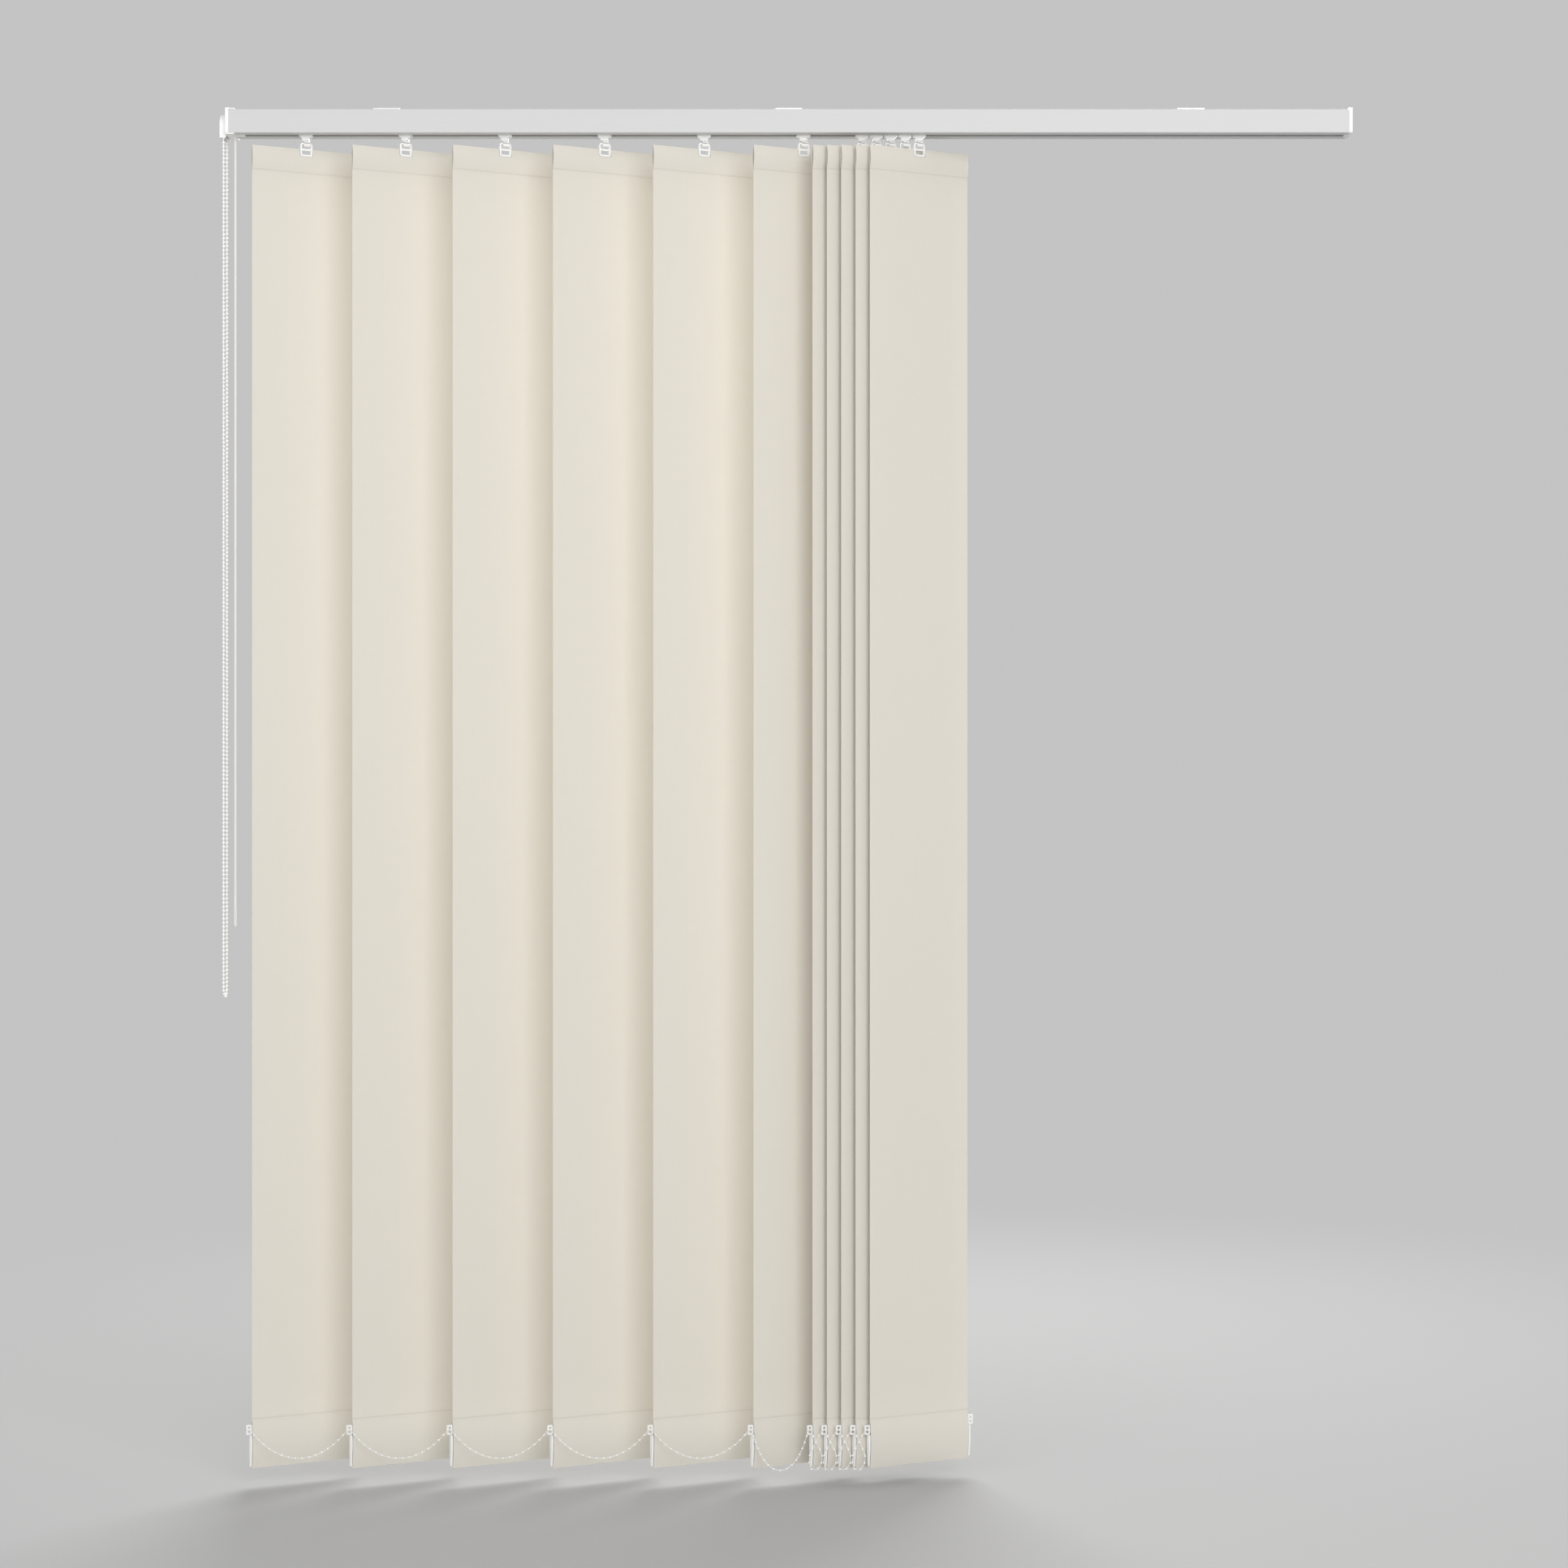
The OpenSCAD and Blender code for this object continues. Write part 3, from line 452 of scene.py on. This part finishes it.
top_weld = SLAT_TOP - TOP_POCKET_H
bottom_weld = SLAT_BOTTOM + BOTTOM_POCKET_H
flat_h = top_weld - bottom_weld
bpy.ops.object.select_all(action="DESELECT")
bpy.ops.mesh.primitive_grid_add(
    x_subdivisions=SLAT_COLUMNS, y_subdivisions=SLAT_ROWS, size=1, calc_uvs=False,
    location=(0, 0, (top_weld + bottom_weld) / 2), rotation=(math.radians(90), 0, 0),
)
slat = bpy.context.object
slat.name = "cloth_slat"
slat.scale = (SLAT_W, flat_h, 1)
bpy.ops.object.transform_apply(location=True, rotation=True, scale=True)
print("flat of the slat", [round(d, 4) for d in slat.dimensions])

# %% [markdown]
# Each pocket is a lens in section. The front layer bows out by half the pocket's thickness, and the rear
# layer comes back the same way and ends in a short welded tail that lies flat on the back of the strip.

# %% The pockets
POCKET_STEPS = 8
WELD_TAIL = mm(3)
WELD_LAYERS = 1.2


def pocket_steps(height, thick, way):
    """Moves (y, z) that lead the cloth from the weld to the fold and back to the weld behind it."""
    bow = (thick - CLOTH_T) / 2
    behind = WELD_LAYERS * CLOTH_T
    shares = [i / POCKET_STEPS for i in range(POCKET_STEPS + 1)]
    front = [(-4 * bow * s * (1 - s), way * height * s) for s in shares]
    rear = [(4 * bow * s * (1 - s) + behind * (1 - s), way * height * s) for s in reversed(shares)]
    places = front + rear[1:] + [(behind, -way * WELD_TAIL)]
    return [(b[0] - a[0], b[1] - a[1]) for a, b in zip(places, places[1:])]


def pull_edge(edge_z, height, thick, way):
    select_points(slat, lambda co: abs(co.z - edge_z) < CLOTH_T)
    bpy.ops.mesh.select_mode(type="EDGE")
    for dy, dz in pocket_steps(height, thick, way):
        bpy.ops.mesh.extrude_region_move(TRANSFORM_OT_translate={"value": (0, dy, dz)})
    bpy.ops.object.mode_set(mode="OBJECT")


pull_edge(top_weld, TOP_POCKET_H, TOP_POCKET_T, 1)
pull_edge(bottom_weld, BOTTOM_POCKET_H, BOTTOM_POCKET_T, -1)
print("slat with pockets", len(slat.data.polygons), "faces")

# %% [markdown]
# The hanger's buckle comes out through a notch in the top fold. Three cuts across the strip give the notch
# its straight sides, and the faces between them go. The strip then gets the thickness of the cloth.

# %% The notch and the thickness
NOTCH_HALF_W, NOTCH_Z = mm(7.5, -52.8)
FOLD_ANGLE = math.radians(50)

only(slat)
bpy.ops.object.mode_set(mode="EDIT")
for place, normal in (
    ((-NOTCH_HALF_W, 0, 0), (1, 0, 0)),
    ((NOTCH_HALF_W, 0, 0), (1, 0, 0)),
    ((0, 0, NOTCH_Z), (0, 0, 1)),
):
    bpy.ops.mesh.select_all(action="SELECT")
    bpy.ops.mesh.bisect(plane_co=place, plane_no=normal)
bpy.ops.mesh.select_mode(type="FACE")
bpy.ops.mesh.select_all(action="DESELECT")
bpy.ops.object.mode_set(mode="OBJECT")
for face in slat.data.polygons:
    face.select = abs(face.center.x) < NOTCH_HALF_W and face.center.z > NOTCH_Z
bpy.ops.object.mode_set(mode="EDIT")
bpy.ops.mesh.delete(type="FACE")
bpy.ops.mesh.select_all(action="SELECT")
bpy.ops.mesh.normals_make_consistent(inside=False)
bpy.ops.object.mode_set(mode="OBJECT")
cloth = slat.modifiers.new("cloth", "SOLIDIFY")
cloth.thickness = CLOTH_T
cloth.offset = 0
apply_modifier(slat, "cloth")
bpy.ops.object.shade_smooth_by_angle(angle=FOLD_ANGLE)
print("slat", len(slat.data.polygons), "faces, thickness", round(slat.dimensions.y, 4))

# %% [markdown]
# The weave has to follow the strip and not the axes of the scene, so the slat gets a UV map in metres:
# across the strip and along it. It is drawn before the slat is turned, while the strip still faces the
# front.

# %% UV map of the cloth
weave_map = slat.data.uv_layers.new(name="weave")
for loop in slat.data.loops:
    co = slat.data.vertices[loop.vertex_index].co
    weave_map.data[loop.index].uv = (co.x, co.z)
print("UV map", weave_map.name)

# %% [markdown]
# The other ten slats are copies with meshes of their own. Each is turned to the tilt that the rod gives
# them all and moved under its carrier, and that place is applied, so that it lies in the mesh.

# %% Hang the slats
slats = []
for k in range(1, SLATS + 1):
    only(slat)
    bpy.ops.object.duplicate()
    hung = bpy.context.object
    hung.name = f"cloth_slat_{two(k)}"
    hung.rotation_euler.z = REST_TILT
    hung.location.x = slat_x[k]
    bpy.ops.object.transform_apply(location=True, rotation=True, scale=True)
    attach(hung, f"vane_{two(k)}")
    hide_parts(f"slat_{two(k)}")
    slats.append(hung)
bpy.data.objects.remove(slat)

# %% [markdown]
# ## Finishes
# A finish is a small node tree on a Principled shader. What is the same all over is set on the shader
# itself, and what varies comes from noise or waves on Object coordinates or on the UV map.

# %% Node helpers
MIX_A, MIX_B, MIX_OUT = 6, 7, 2
EVEN = (1, 1, 1)


def grey(level):
    return (level, level, level)


def new_finish(name, colour, roughness, metallic=0.0):
    """A material and its Principled shader."""
    finish = bpy.data.materials.new(name)
    finish.use_nodes = True
    shader = finish.node_tree.nodes["Principled BSDF"]
    shader.inputs["Base Color"].default_value = (*colour, 1)
    shader.inputs["Roughness"].default_value = roughness
    shader.inputs["Metallic"].default_value = metallic
    return finish, shader


def add_node(finish, kind, **values):
    node = finish.node_tree.nodes.new(kind)
    for key, value in values.items():
        if key in node.inputs:
            node.inputs[key].default_value = value
        else:
            setattr(node, key, value)
    return node


def wire(finish, start, end):
    finish.node_tree.links.new(start, end)


def object_place(finish):
    """Object coordinates, which are the coordinates of the frame."""
    return add_node(finish, "ShaderNodeTexCoord").outputs["Object"]


def stretched_noise(finish, source, stretch, scale, detail=3.0):
    """Noise on a coordinate, stretched along its axes."""
    mapping = add_node(finish, "ShaderNodeMapping", Scale=stretch)
    noise = add_node(finish, "ShaderNodeTexNoise", Scale=scale, Detail=detail)
    wire(finish, source, mapping.inputs["Vector"])
    wire(finish, mapping.outputs["Vector"], noise.inputs["Vector"])
    return noise.outputs["Fac"]


def combine(finish, operation, *terms):
    """A Math node whose inputs are sockets or plain numbers."""
    node = add_node(finish, "ShaderNodeMath", operation=operation)
    for place, term in zip(node.inputs, terms):
        if isinstance(term, (int, float)):
            place.default_value = term
        else:
            wire(finish, term, place)
    return node.outputs["Value"]


def ramp(finish, source, low, high):
    """Turns 0..1 to a range of numbers."""
    node = add_node(finish, "ShaderNodeMapRange")
    node.inputs["To Min"].default_value = low
    node.inputs["To Max"].default_value = high
    wire(finish, source, node.inputs["Value"])
    return node.outputs["Result"]


def tint(finish, source, dark, light):
    """Turns 0..1 to a colour between two."""
    node = add_node(finish, "ShaderNodeMix", data_type="RGBA")
    node.inputs[MIX_A].default_value = (*dark, 1)
    node.inputs[MIX_B].default_value = (*light, 1)
    wire(finish, source, node.inputs["Factor"])
    return node.outputs[MIX_OUT]


def bump(finish, shader, source, depth, strength):
    node = add_node(finish, "ShaderNodeBump", Strength=strength, Distance=depth)
    wire(finish, source, node.inputs["Height"])
    wire(finish, node.outputs["Normal"], shader.inputs["Normal"])


def wear(pieces, finish):
    """Puts one finish on pieces."""
    for piece in pieces:
        piece.data.materials.clear()
        piece.data.materials.append(finish)
    print(finish.name, "on", len(pieces), "pieces")


# %% [markdown]
# The slats are a plain woven polyester in a warm cream. Close to, fine warp and weft threads cross, and
# here and there a thread is a little thicker. From a few steps away that reads only as a soft, dull surface
# with a faint streak.

# %% Cream cloth
THREAD = mm(0.55)
CREAM = (0.79, 0.75, 0.68)
WARP_STRETCH, WEFT_STRETCH, SLUB_SCALE = (1, 0.02, 1), (0.03, 1, 1), 900

cream, shader = new_finish("cream_cloth", CREAM, roughness=0.85)
shader.inputs["Sheen Weight"].default_value = 0.2
shader.inputs["Sheen Roughness"].default_value = 0.6
strip = add_node(cream, "ShaderNodeTexCoord").outputs["UV"]
threads = []
for direction in ("X", "Y"):
    wave = add_node(cream, "ShaderNodeTexWave", wave_type="BANDS", bands_direction=direction,
                    Scale=1 / THREAD / math.tau)
    wire(cream, strip, wave.inputs["Vector"])
    threads.append(wave.outputs["Fac"])
weave = combine(cream, "MULTIPLY", *threads)
warp = stretched_noise(cream, strip, WARP_STRETCH, SLUB_SCALE)
weft = stretched_noise(cream, strip, WEFT_STRETCH, SLUB_SCALE)
slub = combine(cream, "ADD", warp, weft)
print("weave and slub")

# %% [markdown]
# The two welds press a narrow line across each strip. The line is found on the UV map, where the height is
# in metres: the nearer to the weld, the deeper the cloth is pressed and the darker it looks.

# %% Weld lines
WELD_W = mm(1.3)
WELD_DEPTH = 2.0
WELD_SHADE = (0.92, 0.91, 0.89)
DARK_THREAD, LIGHT_THREAD = (0.765, 0.73, 0.655), (0.81, 0.775, 0.70)

along = add_node(cream, "ShaderNodeSeparateXYZ")
wire(cream, strip, along.inputs["Vector"])
pressed = []
for weld_z in (top_weld, bottom_weld):
    away = combine(cream, "ABSOLUTE", combine(cream, "SUBTRACT", along.outputs["Y"], weld_z))
    near = add_node(cream, "ShaderNodeMapRange", interpolation_type="SMOOTHSTEP")
    near.inputs["From Min"].default_value = WELD_W / 4
    near.inputs["From Max"].default_value = WELD_W
    near.inputs["To Min"].default_value = 1
    near.inputs["To Max"].default_value = 0
    wire(cream, away, near.inputs["Value"])
    pressed.append(near.outputs["Result"])
weld = combine(cream, "MAXIMUM", *pressed)
sunk = combine(cream, "MULTIPLY", weld, WELD_DEPTH)
height = combine(cream, "SUBTRACT", combine(cream, "ADD", weave, slub), sunk)
bump(cream, shader, height, depth=mm(0.08), strength=0.5)
thread_colour = tint(cream, combine(cream, "MULTIPLY", slub, 0.5), DARK_THREAD, LIGHT_THREAD)
weld_tint = add_node(cream, "ShaderNodeMix", data_type="RGBA", blend_type="MULTIPLY")
weld_tint.inputs[MIX_B].default_value = (*WELD_SHADE, 1)
wire(cream, weld, weld_tint.inputs["Factor"])
wire(cream, thread_colour, weld_tint.inputs[MIX_A])
wire(cream, weld_tint.outputs[MIX_OUT], shader.inputs["Base Color"])
print("weld lines")

# %% [markdown]
# The cloth is thin enough to glow when light falls on its back. A share of a translucent shader does that,
# in the warmer colour that light takes on between the threads.

# %% Glow of the cloth
GLOW_SHARE = 0.12
GLOW_COLOUR = (0.86, 0.79, 0.64)

glow = add_node(cream, "ShaderNodeBsdfTranslucent", Color=(*GLOW_COLOUR, 1))
both = add_node(cream, "ShaderNodeMixShader", Fac=GLOW_SHARE)
wire(cream, shader.outputs["BSDF"], both.inputs[1])
wire(cream, glow.outputs["BSDF"], both.inputs[2])
wire(cream, both.outputs["Shader"], cream.node_tree.nodes["Material Output"].inputs["Surface"])
wear(slats, cream)

# %% [markdown]
# The rail is an aluminium extrusion with a satin white coat. The die leaves very faint lines along it,
# which show as a slight streak in the gloss.

# %% Rail paint
paint, shader = new_finish("satin_white_paint", grey(0.62), roughness=0.4)
place = object_place(paint)
streaks = stretched_noise(paint, place, stretch=(0.3, 40, 40), scale=12)
grain = stretched_noise(paint, place, EVEN, scale=1500)
wire(paint, ramp(paint, streaks, low=0.34, high=0.48), shader.inputs["Roughness"])
bump(paint, shader, grain, depth=mm(0.02), strength=0.25)
wire(paint, tint(paint, streaks, dark=grey(0.60), light=grey(0.635)), shader.inputs["Base Color"])
wear([nodes["headrail"]], paint)

# %% [markdown]
# Carriers, hangers, weights and end pieces are moulded in white plastic: smooth, with a fine moulding grain
# and a slight change of gloss where it cooled.

# %% White plastic
plastic, shader = new_finish("white_moulded_plastic", (0.90, 0.90, 0.89), roughness=0.35)
shader.inputs["Coat Weight"].default_value = 0.1
place = object_place(plastic)
cloud = stretched_noise(plastic, place, EVEN, scale=120)
grain = stretched_noise(plastic, place, EVEN, scale=2500)
wire(plastic, ramp(plastic, cloud, low=0.28, high=0.46), shader.inputs["Roughness"])
bump(plastic, shader, grain, depth=mm(0.02), strength=0.2)
white = tint(plastic, cloud, dark=(0.88, 0.88, 0.87), light=(0.92, 0.92, 0.91))
wire(plastic, white, shader.inputs["Base Color"])
moulded = [piece for name, piece in nodes.items() if name.startswith(("carrier", "slat_fittings"))]
wear(moulded + [nodes["control_unit"], nodes["idler_end_cap"]], plastic)

# %% [markdown]
# The beads are a softer, milky plastic. The pull cord is braided: two sets of bands cross over it at a
# slant. The grooves between the bands are painted darker as shade, and the band tops lighter.

# %% Chain and cord
milky, shader = new_finish("milky_bead_plastic", (0.93, 0.93, 0.92), roughness=0.38)
place = object_place(milky)
cloud = stretched_noise(milky, place, EVEN, scale=400)
wire(milky, ramp(milky, cloud, low=0.3, high=0.5), shader.inputs["Roughness"])
white = tint(milky, cloud, dark=(0.91, 0.91, 0.90), light=(0.95, 0.95, 0.94))
wire(milky, white, shader.inputs["Base Color"])
chains = [
    piece for piece in bpy.context.scene.objects if "chain" in piece.name and "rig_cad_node" not in piece
]
wear(chains, milky)

BRAID_SCALE = 250.0

braid, shader = new_finish("braided_cord", (0.82, 0.82, 0.80), roughness=0.8)
place = object_place(braid)
bands = []
for slant in (1, -1):
    mapping = add_node(braid, "ShaderNodeMapping", Scale=(1, slant, 1))
    wave = add_node(braid, "ShaderNodeTexWave", wave_type="BANDS", bands_direction="DIAGONAL",
                    Scale=BRAID_SCALE)
    wire(braid, place, mapping.inputs["Vector"])
    wire(braid, mapping.outputs["Vector"], wave.inputs["Vector"])
    bands.append(wave.outputs["Fac"])
crossing = combine(braid, "MAXIMUM", *bands)
bump(braid, shader, crossing, depth=mm(0.1), strength=0.6)
# Painted shade: the cord is darker where the braid's bump is low, in the grooves, and lighter on the raised
# strands.
strands_with_painted_groove_shade = tint(braid, crossing, dark=(0.72, 0.72, 0.70), light=(0.86, 0.86, 0.84))
wire(braid, strands_with_painted_groove_shade, shader.inputs["Base Color"])
wear([cord_loop, cord_run], braid)

# %% [markdown]
# The brackets are zinc plated steel with a dull bloom, and the tilt rod is drawn aluminium, with fine lines
# along it.

# %% Metals
zinc, shader = new_finish("zinc_plate", (0.62, 0.63, 0.64), roughness=0.4, metallic=1.0)
place = object_place(zinc)
bloom = stretched_noise(zinc, place, EVEN, scale=180)
wire(zinc, ramp(zinc, bloom, low=0.3, high=0.55), shader.inputs["Roughness"])
plate = tint(zinc, bloom, dark=(0.55, 0.56, 0.57), light=(0.68, 0.69, 0.70))
wire(zinc, plate, shader.inputs["Base Color"])
wear([nodes["ceiling_brackets"]], zinc)

drawn, shader = new_finish("drawn_aluminium", (0.70, 0.70, 0.71), roughness=0.35, metallic=1.0)
place = object_place(drawn)
lines = stretched_noise(drawn, place, stretch=(0.2, 60, 60), scale=30)
wire(drawn, ramp(drawn, lines, low=0.25, high=0.45), shader.inputs["Roughness"])
bump(drawn, shader, lines, depth=mm(0.03), strength=0.3)
wear([nodes["tilt_rod"]], drawn)

# %% [markdown]
# ## Stage and light
# A pale floor lies just under the slats. Close to the blind it keeps the shadow, and further out it fades
# to the pale grey of the backdrop, but only for what the camera and mirrors see. That adds no light.

# %% Floor
FLOOR_GAP = mm(12)
FLOOR_Z = cad_box[0][2] - FLOOR_GAP
FLOOR_SIZE = 40
FADE_START, FADE_END = 0.7, 2.6
BACKDROP, AMBIENT = 0.55, 0.58


def seen_rays(finish):
    """1 for rays from the camera, in mirrors and through glass, and 0 for the rays that light things."""
    path = add_node(finish, "ShaderNodeLightPath")
    mirrored = combine(finish, "MAXIMUM", path.outputs["Is Glossy Ray"], path.outputs["Is Transmission Ray"])
    return combine(finish, "MAXIMUM", path.outputs["Is Camera Ray"], mirrored)


bpy.ops.object.select_all(action="DESELECT")
bpy.ops.mesh.primitive_plane_add(size=FLOOR_SIZE, location=(0, 0, FLOOR_Z))
floor = bpy.context.object
floor.name = "floor"
floor_finish, shader = new_finish("pale_floor", grey(0.45), roughness=0.9)
from_middle = add_node(floor_finish, "ShaderNodeVectorMath", operation="LENGTH")
wire(floor_finish, object_place(floor_finish), from_middle.inputs[0])
fade = add_node(floor_finish, "ShaderNodeMapRange", interpolation_type="SMOOTHSTEP")
fade.inputs["From Min"].default_value = FADE_START
fade.inputs["From Max"].default_value = FADE_END
wire(floor_finish, from_middle.outputs["Value"], fade.inputs["Value"])
far_white = add_node(floor_finish, "ShaderNodeEmission", Strength=BACKDROP)
blend = add_node(floor_finish, "ShaderNodeMixShader")
faded = combine(floor_finish, "MULTIPLY", fade.outputs["Result"], seen_rays(floor_finish))
wire(floor_finish, faded, blend.inputs["Fac"])
wire(floor_finish, shader.outputs["BSDF"], blend.inputs[1])
wire(floor_finish, far_white.outputs["Emission"], blend.inputs[2])
wire(floor_finish, blend.outputs["Shader"], floor_finish.node_tree.nodes["Material Output"].inputs["Surface"])
wear([floor], floor_finish)
print("floor at", round(FLOOR_Z, 4))

# %% [markdown]
# A wide lamp stands beside the camera and a weaker one to the left, both so wide that the shade between two
# slats is soft. A third stands behind the blind and makes the cloth glow. The world gives the rest from all
# sides.

# %% Lamps and world
LAMPS = {
    "key": {"place": (1.4, -4.0, 0.5), "size": 3.2, "power": 92},
    "fill": {"place": (-2.2, -3.4, 0.0), "size": 3.0, "power": 40},
    "back": {"place": (0.3, 2.8, 1.0), "size": 2.5, "power": 100},
}


def soft_lamp(name, place, aim, size, power):
    """A square lamp that nobody sees, turned to a point."""
    bpy.ops.object.light_add(type="AREA", location=place)
    lamp = bpy.context.object
    lamp.name = name
    lamp.data.size = size
    lamp.data.energy = power
    lamp.visible_camera = False
    direction = [a - b for a, b in zip(aim, place)]
    lamp.rotation_euler = (
        math.atan2(math.hypot(direction[0], direction[1]), -direction[2]), 0,
        math.atan2(direction[1], direction[0]) - math.pi / 2,
    )


middle = (0, 0, (cad_box[0][2] + cad_box[1][2]) / 2)
for name, lamp in LAMPS.items():
    soft_lamp(name, aim=middle, **lamp)

world = bpy.data.worlds.new("studio")
bpy.context.scene.world = world
world.use_nodes = True
backdrop = world.node_tree.nodes["Background"]
backdrop.inputs["Color"].default_value = (*grey(1), 1)
wire(world, ramp(world, seen_rays(world), low=AMBIENT, high=BACKDROP), backdrop.inputs["Strength"])
bpy.context.scene.view_settings.view_transform = "Standard"
print("lamps and world set")
